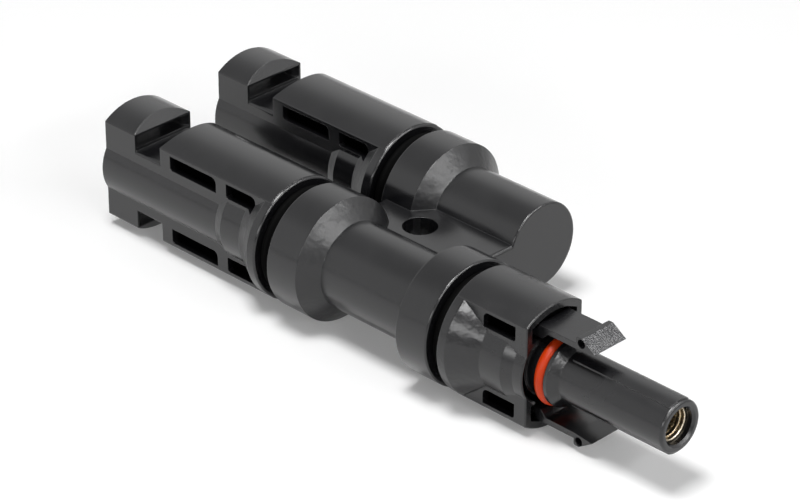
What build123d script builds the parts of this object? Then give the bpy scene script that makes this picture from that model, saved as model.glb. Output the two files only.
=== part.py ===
from build123d import *
from math import hypot, sqrt
import os

# Solar branch connector: two latching sockets side by side at the rear, one plug in front.
# Millimetres. +X runs from the sockets to the plug tip, +Y from the near branch to the far
# one and +Z is up. The origin is the centre of the fixing hole in the web.

# Branch body
AXIS_PITCH = 22.7          # between the near and the far branch axis
TUBE_R = 6.7
REAR_COLLAR_X = -10.1      # rear face of the two rear collars
REAR_COLLAR_LEN = 6.0
CONE_LEN = 2.2             # step from collar down to tube
FAR_END_X = 13.4           # flat end face of the far branch and of the web
FRONT_COLLAR_X = 15.6      # rear face of the front collar
FRONT_COLLAR_LEN = 5.9
WEB_SETBACK = 1.0          # web starts this far ahead of the rear collars' face
WEB_T = 5.0
HOLE_R = 2.6
BODY_EDGE_R = 0.3
WEB_EDGE_R = 0.6           # front edges of the web
COLLAR_FLOOR = 1.2         # wall left under the recess in each collar for a housing neck
CONTACT_WAY_R = 3.25       # bore that the contact tails and the bus bar hubs lie in

# Sealing joint between a housing and its collar
NECK_R = 7.4
NECK_CLEARANCE = 0.05
NECK_END_CLEARANCE = 0.3   # between the end of a neck and the floor of its recess
REAR_GAP = 2.6             # open ring between a socket rim and its collar
FRONT_GAP = 1.85           # the same at the plug
NECK_SEAL_R = 8.4

# Outside form shared by the sockets and the plug, measured from the rim towards the mouth
GUARD_WALL = 0.8           # wall between the latch channel's corners and the guards' round back
RIM_STEP = 0.1             # rim below the guards' back
RIM_LEN = 1.6
FLARE_END = 5.8
BAND_R = 7.0
BAND_END = 9.7
BAND_CONE = 1.7
BARREL_R = 6.4
FLAT_Y = 5.5               # half width across the guards' flat sides
GUARD_EDGE_R = 0.3
RIM_EDGE_R = 0.35
MOUTH_EDGE = 0.15          # bevel on the outer edge of the mouth or of the plug shell's front

# Latch fingers of the plug, one above and one below; a socket's channels are cut to take them
FINGER_Y = 3.1
FINGER_Z0 = 6.55
FINGER_T = 0.9
FINGER_ROOT_Z0 = 5.6       # lower strip that carries the finger inside the shell
FINGER_ROOT_T = 1.1
FINGER_ROOT_X = 4.6
FINGER_STEP_BACK = 0.3     # step from lower strip to finger, behind the shell's front edge
FINGER_STEP_LEN = 0.9
LIP_H = 1.0                # lip above the finger's top
LIP_TOP_LEN = 0.95
LIP_TOP_R = 0.3
LIP_LEN = 3.35             # catch face to the sharp end
LIP_END_H = 0.35           # sharp end above the finger's underside
LIP_HOLE_R = 0.65
LIP_HOLE_WALL = 0.15       # left above the cross hole in the lip
LIP_HOLE_BACK = 0.05       # hole centre behind the front end of the lip's top

# Latch channel of a socket
CHANNEL_Y = 4.4            # half width
CHANNEL_Z0 = 5.6
LATCH_CLEARANCE = 0.05     # channel roof above the finger
CHANNEL_OVERLAP = 1.0      # how far the channel runs on into the long window
MOUTH_BEVEL = 0.8          # inner lead-in of the guard walls
BRIDGE_LEN = 6.7           # front piece of the guard, which the latch lips catch behind
NOTCH_LEN = 5.5
NOTCH_Z0 = 5.1             # floor of the notch, a step lower than the channel
NOTCH_FLOOR_R = 0.5        # rounded outer edges of that floor
NOTCH_LEAN = 1.0           # each notch face leans this much apart, from shoulder to top of the arch

# Side windows, a blind pocket in each flat side
WINDOW_DEPTH = 3.9
WINDOW_Z0 = 4.9
WINDOW_WALL = 0.55         # wall above a window, up to the guard's shoulder
WINDOW_R = 0.9
WINDOW_SMALL_R = 0.45
LONG_WINDOW_START = 12.0
WINDOW_POST = 2.15         # wall between the long window and the notch
SHORT_WINDOW = (3.7, 9.85)
PLUG_WINDOW = (5.2, 11.1)

# Rear sockets, measured from the rim towards the mouth
SOCKET_LEN = 36.2
SEAL_BORE_DEPTH = 4.6
SEAL_BORE_BEVEL = 0.3
GUIDE_BORE_END = 12.9      # floor of the bore that takes the mating plug
MATING_CLEARANCE = 0.1     # round a mating plug's collar and keys

# Front plug, measured from the rim towards the tip
PLUG_SHELL_LEN = 13.2
SKIRT_R = 5.75             # inside of the barrel round the boss
SKIRT_FLOOR = 9.6
SKIRT_BEVEL = 0.4
BOSS_R = 4.9
BOSS_END = 12.4
CARRIER_R = 4.55
GROOVE_START = 13.9
GROOVE_END = 15.85
GROOVE_R = 3.5
LIP_COLLAR_R = 5.05
LIP_COLLAR_LEN = 0.6
LIP_CONE_LEN = 1.1
PLUG_TUBE_R = 3.85
PLUG_TIP = 35.9
TIP_EDGE_R = 0.45
KEY_R = 4.05               # raised keys along the top and the bottom of the plug tube
KEY_Y = 1.8
KEY_START = 18.2
TIP_BORE_BEVEL = 0.35

# O-ring on the plug
O_RING_SECTION_R = 0.93

# Contacts
PIN_R = 2.0
PIN_TIP = 25.4             # pin tip, measured from the rim towards the mouth
PIN_TIP_BEVEL = 0.8
CONTACT_BODY_R = 2.6
CONTACT_CLEARANCE = 0.05
CONTACT_BODY_END = 2.4     # rear end of the thick part, ahead of the rim
CONTACT_SHOULDER = 9.4     # shoulder in the housing that the clip bears on
CLIP_SEAT_R = 2.1
CLIP_WIDTH = 1.3
CLIP_OUTER_R = 3.35
CLIP_T = 0.25
CLIP_RING = 0.5            # unslotted length at the small end of the clip
CLIP_SLOTS = 4
CLIP_SLOT_W = 0.5
CLIP_CLEARANCE = 0.1       # round the sprung clip
TAIL_R = 1.7
CONTACT_RECESS = 1.3       # socket contact behind the plug tip
LOUVRE_IN_R = 2.02
LOUVRE_T = 0.23
SOCKET_CONTACT_DEPTH = 14.0
BAND_SETBACK = 0.7         # louvre band behind the mouth of the socket contact
LOUVRE_LEN = 9.0
LOUVRE_RIM = 0.8
LOUVRE_COUNT = 12
LOUVRE_SLOT_W = 0.42

# Bus bar that joins the branches
HUB_CLEARANCE = 0.05
HUB_X = 3.8
HUB_LEN = 7.8
BAR_W = 6.0
BAR_T = 2.0
BAR_CLEARANCE = 0.05
FAR_TAIL_STOP = 1.0        # solid end of the blind far hub

CUT_MARGIN = 1.0           # how far a cutting solid reaches past the surface that it opens
TOUCH = 0.001              # places nearer than this are the same

# Stations and radii worked out from the sizes above
NEAR_Y = -AXIS_PITCH / 2
FAR_Y = AXIS_PITCH / 2
REAR_RIM_X = REAR_COLLAR_X - REAR_GAP
FRONT_COLLAR_END_X = FRONT_COLLAR_X + FRONT_COLLAR_LEN
FRONT_RIM_X = FRONT_COLLAR_END_X + FRONT_GAP
REAR_SEAT_DEPTH = REAR_COLLAR_LEN - COLLAR_FLOOR
FRONT_SEAT_DEPTH = FRONT_COLLAR_LEN - COLLAR_FLOOR
REAR_NECK_END = -(REAR_GAP + REAR_SEAT_DEPTH - NECK_END_CLEARANCE)
FRONT_NECK_END = -(FRONT_GAP + FRONT_SEAT_DEPTH - NECK_END_CLEARANCE)
FINGER_Z1 = FINGER_Z0 + FINGER_T
FINGER_ROOT_Z1 = FINGER_ROOT_Z0 + FINGER_ROOT_T
LIP_TOP_Z = FINGER_Z1 + LIP_H
LIP_END_Z = FINGER_Z0 + LIP_END_H
CHANNEL_Z1 = FINGER_Z1 + LATCH_CLEARANCE
GUARD_R = hypot(CHANNEL_Y, CHANNEL_Z1) + GUARD_WALL    # arched back of the two latch guards
COLLAR_R = GUARD_R
RIM_R = GUARD_R - RIM_STEP
SHOULDER_Z = sqrt(GUARD_R ** 2 - FLAT_Y ** 2)          # where the back meets the flat sides
WINDOW_Z1 = SHOULDER_Z - WINDOW_WALL
NOTCH_END = SOCKET_LEN - BRIDGE_LEN
NOTCH_START = NOTCH_END - NOTCH_LEN
LONG_WINDOW = (LONG_WINDOW_START, NOTCH_START - WINDOW_POST)
CATCH_X = PLUG_SHELL_LEN + BRIDGE_LEN
SEAL_BORE_R = LIP_COLLAR_R + MATING_CLEARANCE
GUIDE_BORE_R = KEY_R + MATING_CLEARANCE
O_RING_R = GROOVE_R + O_RING_SECTION_R
CLIP_WAY_R = CLIP_OUTER_R + CLIP_CLEARANCE
SOCKET_CONTACT_IN_R = LOUVRE_IN_R + LOUVRE_T
HUB_R = CONTACT_WAY_R - HUB_CLEARANCE
HUB_MIDDLE_X = HUB_X + HUB_LEN / 2


def turned(points, rounds=()):
    """Solid of revolution about X from (x, radius) points; rounds are (x, radius, fillet)."""
    face = make_face(Polyline(*points, close=True))
    for x, radius, size in rounds:
        corner = min(face.vertices(), key=lambda v: (v.X - x) ** 2 + (v.Y - radius) ** 2)
        face = fillet(corner, size)
    return revolve(face, Axis.X)


def bar(x0, x1, y0, y1, z0, z1):
    """Rectangular block between two corners."""
    return Pos((x0 + x1) / 2, (y0 + y1) / 2, (z0 + z1) / 2) * Box(x1 - x0, y1 - y0, z1 - z0)


def rod(radius, x0, x1):
    """Round rod along X."""
    return Pos((x0 + x1) / 2, 0, 0) * Rot(0, 90, 0) * Cylinder(radius, x1 - x0)


def side_profile(face, half_width):
    """Solid as wide as twice half_width, from a face drawn in x and z."""
    return extrude(Plane.XZ * face, half_width, both=True)


def above_and_below(solid):
    """The solid and its mirror image below the axis."""
    return solid + mirror(solid, Plane.XY)


def rear_place(solid, y):
    """Turn a socket piece so that its mouth looks to -X, with its rim at the rear gap."""
    return Pos(REAR_RIM_X, y, 0) * Rot(0, 0, 180) * solid


def front_place(solid):
    """Put a plug piece on the near branch, with its rim at the front gap."""
    return Pos(FRONT_RIM_X, NEAR_Y, 0) * solid


def housing_outside(length, neck_end):
    """Neck, rim, flare, band and barrel as one turning, with an arched guard above and below."""
    core = turned(
        [(neck_end, 0), (neck_end, NECK_R), (0, NECK_R), (0, RIM_R), (RIM_LEN, RIM_R),
         (FLARE_END, BAND_R), (BAND_END, BAND_R), (BAND_END + BAND_CONE, BARREL_R),
         (length - MOUTH_EDGE, BARREL_R), (length, BARREL_R - MOUTH_EDGE), (length, 0)],
        [(0, RIM_R, RIM_EDGE_R), (RIM_LEN, RIM_R, RIM_EDGE_R)])
    guards = rod(GUARD_R, RIM_EDGE_R, length)
    guards &= bar(RIM_EDGE_R, length, -FLAT_Y, FLAT_Y, -GUARD_R, GUARD_R)
    guards = fillet(guards.edges().filter_by(Axis.X), GUARD_EDGE_R)
    return core + chamfer(guards.edges().group_by(Axis.X)[-1], MOUTH_EDGE)


def windows(span):
    """Two pockets in each flat side; the upper corner next to the rim is well rounded."""
    x0, x1 = span
    outline = Rectangle(x1 - x0, WINDOW_Z1 - WINDOW_Z0)
    outline = fillet(outline.vertices().sort_by(lambda v: v.X - v.Y)[0], WINDOW_R)
    outline = fillet(outline.vertices().sort_by(lambda v: v.X - v.Y)[-1], WINDOW_SMALL_R)
    middle_z = (WINDOW_Z0 + WINDOW_Z1) / 2
    slot = side_profile(Pos((x0 + x1) / 2, middle_z) * outline, FLAT_Y + CUT_MARGIN)
    wall = FLAT_Y - WINDOW_DEPTH
    slot -= bar(x0, x1, -wall, wall, WINDOW_Z0, WINDOW_Z1)
    return slot + Pos(0, 0, -2 * middle_z) * slot


def contact_way(mouth_x, neck_end):
    """Bore for a contact, with the wider way behind the shoulder that its clip springs into."""
    narrow = rod(CONTACT_BODY_R + CONTACT_CLEARANCE, neck_end, mouth_x)
    return narrow + rod(CLIP_WAY_R, neck_end, CONTACT_SHOULDER)


def latch_notch():
    """Gap in the upper guard that the latch lip snaps into, wider at its top."""
    top = GUARD_R + CUT_MARGIN
    lean = NOTCH_LEAN * (top - SHOULDER_Z) / (GUARD_R - SHOULDER_Z)
    outline = Polyline((NOTCH_START, NOTCH_Z0), (NOTCH_START, SHOULDER_Z), (NOTCH_START - lean, top),
                       (NOTCH_END + lean, top), (NOTCH_END, SHOULDER_Z), (NOTCH_END, NOTCH_Z0),
                       close=True)
    return side_profile(make_face(outline), RIM_R)


def soft_floor(solid):
    """Round the outer edges of the notch floors, above and below."""
    edges = [edge for edge in solid.edges().filter_by(Axis.X)
             if NOTCH_START < edge.center().X < NOTCH_END
             and abs(abs(edge.center().Z) - NOTCH_Z0) < TOUCH
             and abs(abs(edge.center().Y) - FLAT_Y) < TOUCH]
    return fillet(edges, NOTCH_FLOOR_R)


def bevelled_mouth(x, way):
    """Lead-in that widens the latch channel at x; way is +1 if it opens to +X, else -1."""
    height = CHANNEL_Z1 - CHANNEL_Z0
    middle = (CHANNEL_Z0 + CHANNEL_Z1) / 2
    seat = Plane(origin=(x - way * MOUTH_BEVEL, 0, middle), x_dir=(0, 1, 0), z_dir=(1, 0, 0))
    face = Plane(origin=(x, 0, middle), x_dir=(0, 1, 0), z_dir=(1, 0, 0))
    return loft([seat * Rectangle(2 * CHANNEL_Y, height),
                 face * Rectangle(2 * (CHANNEL_Y + MOUTH_BEVEL), height)])


def socket_housing():
    """Socket moulding in its own frame: rim at x = 0, mouth at +X."""
    solid = housing_outside(SOCKET_LEN, REAR_NECK_END)
    channel = bar(LONG_WINDOW[1] - CHANNEL_OVERLAP, SOCKET_LEN,
                  -CHANNEL_Y, CHANNEL_Y, CHANNEL_Z0, CHANNEL_Z1)
    latch = latch_notch() + channel + bevelled_mouth(SOCKET_LEN, 1) + bevelled_mouth(NOTCH_END, -1)
    solid = soft_floor(solid - above_and_below(latch))
    solid -= windows(LONG_WINDOW) + windows(SHORT_WINDOW)
    seal_floor = SOCKET_LEN - SEAL_BORE_DEPTH
    solid -= turned([(GUIDE_BORE_END, 0), (GUIDE_BORE_END, GUIDE_BORE_R), (seal_floor, GUIDE_BORE_R),
                     (seal_floor, SEAL_BORE_R), (SOCKET_LEN - SEAL_BORE_BEVEL, SEAL_BORE_R),
                     (SOCKET_LEN, SEAL_BORE_R + SEAL_BORE_BEVEL), (SOCKET_LEN, 0)])
    return solid - contact_way(GUIDE_BORE_END, REAR_NECK_END)


def latch_finger():
    """Upper latch finger: a strip that steps up out of the shell and ends in a sharp lip."""
    step_x = PLUG_SHELL_LEN - FINGER_STEP_BACK
    step_end = step_x + FINGER_STEP_LEN
    lip_end = CATCH_X + LIP_LEN
    lip_top_end = CATCH_X + LIP_TOP_LEN
    outline = make_face(Polyline(
        (FINGER_ROOT_X, FINGER_ROOT_Z0), (step_end, FINGER_ROOT_Z0),
        (step_end + FINGER_Z0 - FINGER_ROOT_Z0, FINGER_Z0), (CATCH_X, FINGER_Z0),
        (lip_end, LIP_END_Z), (lip_top_end, LIP_TOP_Z), (CATCH_X, LIP_TOP_Z), (CATCH_X, FINGER_Z1),
        (step_x, FINGER_Z1), (step_x, FINGER_ROOT_Z1), (FINGER_ROOT_X, FINGER_ROOT_Z1), close=True))
    corner = min(outline.vertices(), key=lambda v: (v.X - CATCH_X) ** 2 + (v.Y - LIP_TOP_Z) ** 2)
    outline = fillet(corner, LIP_TOP_R)
    hole_z = LIP_TOP_Z - LIP_HOLE_WALL - LIP_HOLE_R
    outline -= Pos(lip_top_end - LIP_HOLE_BACK, hole_z) * Circle(LIP_HOLE_R)
    return side_profile(outline, FINGER_Y)


def plug_shell_hollows():
    """Ring-shaped skirt gap round the boss and the pockets that the latch fingers start in."""
    skirt = turned([(SKIRT_FLOOR, 0), (SKIRT_FLOOR, SKIRT_R), (PLUG_SHELL_LEN - SKIRT_BEVEL, SKIRT_R),
                    (PLUG_SHELL_LEN, SKIRT_R + SKIRT_BEVEL), (PLUG_SHELL_LEN, 0)])
    roof = GUARD_R - (FLAT_Y - CHANNEL_Y)
    pocket = rod(roof, PLUG_WINDOW[0], PLUG_SHELL_LEN)
    pocket &= bar(PLUG_WINDOW[0], PLUG_SHELL_LEN, -CHANNEL_Y, CHANNEL_Y, BOSS_R, GUARD_R)
    return skirt + above_and_below(pocket) + windows(PLUG_WINDOW)


def plug_housing():
    """Plug moulding in its own frame: shell, boss, keyed tube and latch fingers."""
    solid = housing_outside(PLUG_SHELL_LEN, FRONT_NECK_END) - plug_shell_hollows()
    collar_end = GROOVE_END + LIP_COLLAR_LEN
    stem = turned(
        [(0, 0), (0, BOSS_R), (BOSS_END, BOSS_R), (BOSS_END, CARRIER_R), (GROOVE_START, CARRIER_R),
         (GROOVE_START, GROOVE_R), (GROOVE_END, GROOVE_R), (GROOVE_END, LIP_COLLAR_R),
         (collar_end, LIP_COLLAR_R), (collar_end + LIP_CONE_LEN, PLUG_TUBE_R),
         (PLUG_TIP, PLUG_TUBE_R), (PLUG_TIP, 0)],
        [(PLUG_TIP, PLUG_TUBE_R, TIP_EDGE_R)])
    keys = rod(KEY_R, KEY_START, PLUG_TIP - TIP_EDGE_R)
    keys &= bar(KEY_START, PLUG_TIP, -KEY_Y, KEY_Y, -KEY_R, KEY_R)
    solid += stem + keys + above_and_below(latch_finger())
    bore_r = CONTACT_BODY_R + CONTACT_CLEARANCE
    solid -= turned([(PLUG_TIP - TIP_BORE_BEVEL, 0), (PLUG_TIP - TIP_BORE_BEVEL, bore_r),
                     (PLUG_TIP, bore_r + TIP_BORE_BEVEL), (PLUG_TIP, 0)])
    return solid - contact_way(PLUG_TIP, FRONT_NECK_END)


def contact_rear(tail_x):
    """Rear half of every contact: clip seat, end of the thick part and thin tail."""
    clip_rear = CONTACT_SHOULDER - CLIP_WIDTH
    return [(CONTACT_SHOULDER, CONTACT_BODY_R), (CONTACT_SHOULDER, CLIP_SEAT_R),
            (clip_rear, CLIP_SEAT_R), (clip_rear, CONTACT_BODY_R),
            (CONTACT_BODY_END, CONTACT_BODY_R), (CONTACT_BODY_END, TAIL_R), (tail_x, TAIL_R),
            (tail_x, 0)]


def pin_contact(tail_x):
    """Pin contact in a socket's own frame."""
    return turned([(PIN_TIP, 0), (PIN_TIP, PIN_R - PIN_TIP_BEVEL), (PIN_TIP - PIN_TIP_BEVEL, PIN_R),
                   (GUIDE_BORE_END, PIN_R), (GUIDE_BORE_END, CONTACT_BODY_R)] + contact_rear(tail_x))


def socket_contact(tail_x):
    """Socket contact in the plug's own frame, open to the tip."""
    mouth = PLUG_TIP - CONTACT_RECESS
    floor = mouth - SOCKET_CONTACT_DEPTH
    return turned([(floor, 0), (floor, SOCKET_CONTACT_IN_R), (mouth, SOCKET_CONTACT_IN_R),
                   (mouth, CONTACT_BODY_R)] + contact_rear(tail_x))


def louvre_band():
    """Springy slotted sleeve inside the socket contact."""
    front = PLUG_TIP - CONTACT_RECESS - BAND_SETBACK
    rear = front - LOUVRE_LEN
    sleeve = rod(SOCKET_CONTACT_IN_R, rear, front) - rod(LOUVRE_IN_R, rear, front)
    slot = bar(rear + LOUVRE_RIM, front - LOUVRE_RIM, -LOUVRE_SLOT_W / 2, LOUVRE_SLOT_W / 2,
               0, CONTACT_BODY_R)
    for i in range(LOUVRE_COUNT):
        sleeve -= Rot(360 / LOUVRE_COUNT * i, 0, 0) * slot
    return sleeve


def contact_clip():
    """Split spring cone that sits in a contact's groove and bears on the housing shoulder."""
    rear = CONTACT_SHOULDER - CLIP_WIDTH
    cone = turned([(rear, CLIP_SEAT_R), (rear, CLIP_SEAT_R + CLIP_T),
                   (CONTACT_SHOULDER - CLIP_T, CLIP_OUTER_R), (CONTACT_SHOULDER, CLIP_OUTER_R),
                   (CONTACT_SHOULDER, CLIP_OUTER_R - CLIP_T), (rear + CLIP_T, CLIP_SEAT_R)])
    slot = bar(rear + CLIP_RING, CONTACT_SHOULDER, -CLIP_SLOT_W / 2, CLIP_SLOT_W / 2, 0, CLIP_WAY_R)
    for i in range(CLIP_SLOTS):
        cone -= Rot(360 / CLIP_SLOTS * i, 0, 0) * slot
    return cone


def neck_seal(gap):
    """Rubber ring round a neck, filling the gap between rim and collar."""
    return rod(NECK_SEAL_R, -gap, 0) - rod(NECK_R, -gap, 0)


def o_ring():
    """Round-section ring on the floor of the plug's groove."""
    middle = (GROOVE_START + GROOVE_END) / 2
    return revolve(Pos(middle, O_RING_R) * Circle(O_RING_SECTION_R), Axis.X)


def branch_body():
    """The one moulding that joins the branches: collars, cones, tubes and web."""
    collar_end = REAR_COLLAR_X + REAR_COLLAR_LEN
    rear = [(REAR_COLLAR_X, 0), (REAR_COLLAR_X, COLLAR_R), (collar_end, COLLAR_R),
            (collar_end + CONE_LEN, TUBE_R)]
    near = turned(rear + [(FRONT_COLLAR_X, TUBE_R), (FRONT_COLLAR_X, COLLAR_R),
                          (FRONT_COLLAR_END_X, COLLAR_R), (FRONT_COLLAR_END_X, 0)],
                  [(REAR_COLLAR_X, COLLAR_R, BODY_EDGE_R), (FRONT_COLLAR_X, COLLAR_R, BODY_EDGE_R),
                   (FRONT_COLLAR_END_X, COLLAR_R, BODY_EDGE_R)])
    far = turned(rear + [(FAR_END_X, TUBE_R), (FAR_END_X, 0)],
                 [(REAR_COLLAR_X, COLLAR_R, BODY_EDGE_R), (FAR_END_X, TUBE_R, BODY_EDGE_R)])
    web = bar(REAR_COLLAR_X + WEB_SETBACK, FAR_END_X, NEAR_Y, FAR_Y, -WEB_T / 2, WEB_T / 2)
    web = fillet(web.edges().filter_by(Axis.Y).group_by(Axis.X)[-1], WEB_EDGE_R)
    solid = Pos(0, NEAR_Y, 0) * near + Pos(0, FAR_Y, 0) * far + web
    seat_r = NECK_R + NECK_CLEARANCE
    rear_seat = rod(seat_r, REAR_COLLAR_X, REAR_COLLAR_X + REAR_SEAT_DEPTH)
    front_seat = rod(seat_r, FRONT_COLLAR_END_X - FRONT_SEAT_DEPTH, FRONT_COLLAR_END_X)
    near_way = rod(CONTACT_WAY_R, REAR_COLLAR_X, FRONT_COLLAR_END_X)
    far_way = rod(CONTACT_WAY_R, REAR_COLLAR_X, HUB_X + HUB_LEN)
    solid -= Pos(0, NEAR_Y, 0) * (rear_seat + front_seat + near_way)
    solid -= Pos(0, FAR_Y, 0) * (rear_seat + far_way)
    slot_half = BAR_W / 2 + BAR_CLEARANCE
    solid -= bar(HUB_MIDDLE_X - slot_half, HUB_MIDDLE_X + slot_half, NEAR_Y, FAR_Y,
                 -BAR_T / 2 - BAR_CLEARANCE, BAR_T / 2 + BAR_CLEARANCE)
    return solid - Cylinder(HOLE_R, WEB_T)


def bus_bar():
    """Copper bar with a round hub on each branch that takes the contact tails."""
    hub = rod(HUB_R, HUB_X, HUB_X + HUB_LEN)
    plate = bar(HUB_MIDDLE_X - BAR_W / 2, HUB_MIDDLE_X + BAR_W / 2, NEAR_Y, FAR_Y, -BAR_T / 2, BAR_T / 2)
    solid = plate + Pos(0, NEAR_Y, 0) * hub + Pos(0, FAR_Y, 0) * hub
    solid -= Pos(0, NEAR_Y, 0) * rod(TAIL_R, HUB_X, HUB_X + HUB_LEN)
    return solid - Pos(0, FAR_Y, 0) * rod(TAIL_R, HUB_X, HUB_X + HUB_LEN - FAR_TAIL_STOP)


# Tails reach from a rim back into their hub: the two near ones meet half way through it
near_pin = pin_contact(REAR_RIM_X - HUB_MIDDLE_X)
far_pin = pin_contact(REAR_RIM_X - (HUB_X + HUB_LEN - FAR_TAIL_STOP))
plug_contact = socket_contact(HUB_MIDDLE_X - FRONT_RIM_X)

pieces = {
    "branch_body": branch_body(),
    "bus_bar": bus_bar(),
    "near_socket_housing": rear_place(socket_housing(), NEAR_Y),
    "far_socket_housing": rear_place(socket_housing(), FAR_Y),
    "plug_housing": front_place(plug_housing()),
    "near_pin_contact": rear_place(near_pin, NEAR_Y),
    "far_pin_contact": rear_place(far_pin, FAR_Y),
    "plug_socket_contact": front_place(plug_contact),
    "louvre_band": front_place(louvre_band()),
    "near_contact_clip": rear_place(contact_clip(), NEAR_Y),
    "far_contact_clip": rear_place(contact_clip(), FAR_Y),
    "plug_contact_clip": front_place(contact_clip()),
    "near_neck_seal": rear_place(neck_seal(REAR_GAP), NEAR_Y),
    "far_neck_seal": rear_place(neck_seal(REAR_GAP), FAR_Y),
    "plug_neck_seal": front_place(neck_seal(FRONT_GAP)),
    "plug_o_ring": front_place(o_ring()),
}

os.makedirs("parts", exist_ok=True)
for name, solid in pieces.items():
    export_step(solid, f"parts/{name}.step")
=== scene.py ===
import logging
import math
from collections.abc import Sequence
from dataclasses import dataclass
from enum import Enum
from typing import Protocol

import bmesh
import bpy
import numpy as np
from mathutils import Matrix, Vector


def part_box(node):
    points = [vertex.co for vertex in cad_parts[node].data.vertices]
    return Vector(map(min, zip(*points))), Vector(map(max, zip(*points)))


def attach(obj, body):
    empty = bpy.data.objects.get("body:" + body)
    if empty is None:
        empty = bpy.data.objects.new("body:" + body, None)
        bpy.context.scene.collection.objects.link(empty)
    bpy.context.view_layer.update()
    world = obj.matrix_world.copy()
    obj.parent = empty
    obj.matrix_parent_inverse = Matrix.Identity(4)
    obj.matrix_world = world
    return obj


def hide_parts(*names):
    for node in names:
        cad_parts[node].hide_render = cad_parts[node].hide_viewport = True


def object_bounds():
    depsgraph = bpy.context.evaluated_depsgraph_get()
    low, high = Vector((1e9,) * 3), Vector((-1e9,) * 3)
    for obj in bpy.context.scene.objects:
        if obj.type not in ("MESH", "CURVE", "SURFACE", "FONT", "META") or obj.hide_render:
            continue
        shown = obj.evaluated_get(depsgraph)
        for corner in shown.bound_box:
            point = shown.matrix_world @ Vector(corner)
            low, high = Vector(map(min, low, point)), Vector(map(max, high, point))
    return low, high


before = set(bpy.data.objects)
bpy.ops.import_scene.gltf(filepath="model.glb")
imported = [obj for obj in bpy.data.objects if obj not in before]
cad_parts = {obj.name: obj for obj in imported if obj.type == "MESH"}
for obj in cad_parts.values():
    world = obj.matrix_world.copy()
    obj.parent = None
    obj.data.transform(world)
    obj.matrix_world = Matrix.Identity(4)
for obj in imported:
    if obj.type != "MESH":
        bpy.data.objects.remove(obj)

# Solar branch connector: two latching sockets at the rear, a latching plug at the front and a
# branch body between them. Sizes are millimetres in the connector's own frame, and meshes metres.

MM = 0.001
CAD_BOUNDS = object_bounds()

# Where the side windows start and end, counted from the rim beside the neck gap
PLUG_RIM_X = 23.35
PLUG_WINDOWS = ((5.2, 11.1),)
SOCKET_RIM_X = -12.7
SOCKET_WINDOWS = ((3.7, 9.85), (12.0, 21.85))

# Corner numbers of a box's faces, where the corners are counted by x, then y, then z
BOX_FACES = np.array([(0, 1, 3, 2), (4, 6, 7, 5), (0, 4, 5, 1), (2, 3, 7, 6), (0, 2, 6, 4), (1, 5, 7, 3)])

# The sRGB curve is a straight line up to its knee and a power above it
SRGB_KNEE, SRGB_SLOPE = 0.04045, 12.92
SRGB_OFFSET, SRGB_POWER = 0.055, 2.4

# The Mix node's inputs and its colour output go by number, because several share a name
MIX_FACTOR = 0
MIX_FIRST_VALUE, MIX_SECOND_VALUE = 2, 3
MIX_FIRST_COLOUR, MIX_SECOND_COLOUR = 6, 7
MIX_COLOUR_RESULT = 2

# Types that many functions take or give; a span is a start and an end, a shell points and faces
Tree = bpy.types.NodeTree
Node = bpy.types.Node
Socket = bpy.types.NodeSocket
Span = tuple[float, float]
Shell = tuple[np.ndarray, np.ndarray]

log = logging.getLogger("solar_branch_connector")


class Branch(Enum):
    """The two parallel branches, each named by the start of its nodes' names."""

    NEAR = "near"
    FAR = "far"


class Slot(Enum):
    """Names of the record's material slots; no piece here is put in one."""

    HOUSING = "moulded_housing"
    TIN = "tinned_contact"
    GILT = "gilt_contact"
    RUBBER = "black_rubber"
    SILICONE = "orange_silicone"


def to_linear(hex_colour: str) -> tuple[float, float, float, float]:
    """Turns an sRGB hex colour into the linear colour that a shader takes.

    A value v from 0 to 1 becomes v / slope up to the knee, and ((v + offset) / (1 + offset))^power
    above it.

    Args:
        hex_colour: six hex digits after a hash sign.

    Returns:
        Linear red, green and blue, and an alpha of 1.
    """
    values = np.array([int(hex_colour[i:i + 2], 16) for i in (1, 3, 5)]) / 255
    above = ((values + SRGB_OFFSET) / (1 + SRGB_OFFSET)) ** SRGB_POWER
    linear = np.where(values <= SRGB_KNEE, values / SRGB_SLOPE, above)
    return (*linear.tolist(), 1.0)


def add_node(tree: Tree, kind: str, inputs: dict | None = None, **settings: object) -> Node:
    """Adds one node with its settings, and sets or links its inputs.

    Args:
        tree: the node tree that gets the node.
        kind: Blender's name for the node's type.
        inputs: input name or number, to a value, a socket, or a node whose first output feeds it.
        settings: attributes of the node, such as its operation.

    Returns:
        The new node.
    """
    node = tree.nodes.new(kind)
    for name, value in settings.items():
        setattr(node, name, value)
    for key, value in (inputs or {}).items():
        source = value.outputs[0] if isinstance(value, Node) else value
        if isinstance(source, Socket):
            tree.links.new(source, node.inputs[key])
        else:
            node.inputs[key].default_value = source
    return node


def ranged(value: Node | Socket, results: Span, heights: Span = (0.3, 0.7)) -> dict:
    """Lists a Map Range node's inputs; the default heights are where noise mostly lies.

    Args:
        value: what to map.
        results: what the lowest and the highest of the heights become.
        heights: the range of the value that is mapped; it is held beyond both ends.

    Returns:
        Input names and values.
    """
    return {"Value": value, "From Min": heights[0], "From Max": heights[1],
            "To Min": results[0], "To Max": results[1]}


def two_colours(factor: Node | Socket, first: str, second: str) -> dict:
    """Lists a Mix node's inputs for two sRGB hex colours.

    Args:
        factor: 0 gives the first colour and 1 the second.
        first: hex colour.
        second: hex colour.

    Returns:
        Input numbers and values.
    """
    return {MIX_FACTOR: factor, MIX_FIRST_COLOUR: to_linear(first), MIX_SECOND_COLOUR: to_linear(second)}


def around(value: float, drift: Span) -> Span:
    """Gives the range that a value covers with its drift down and up."""
    return value + drift[0], value + drift[1]


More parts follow.
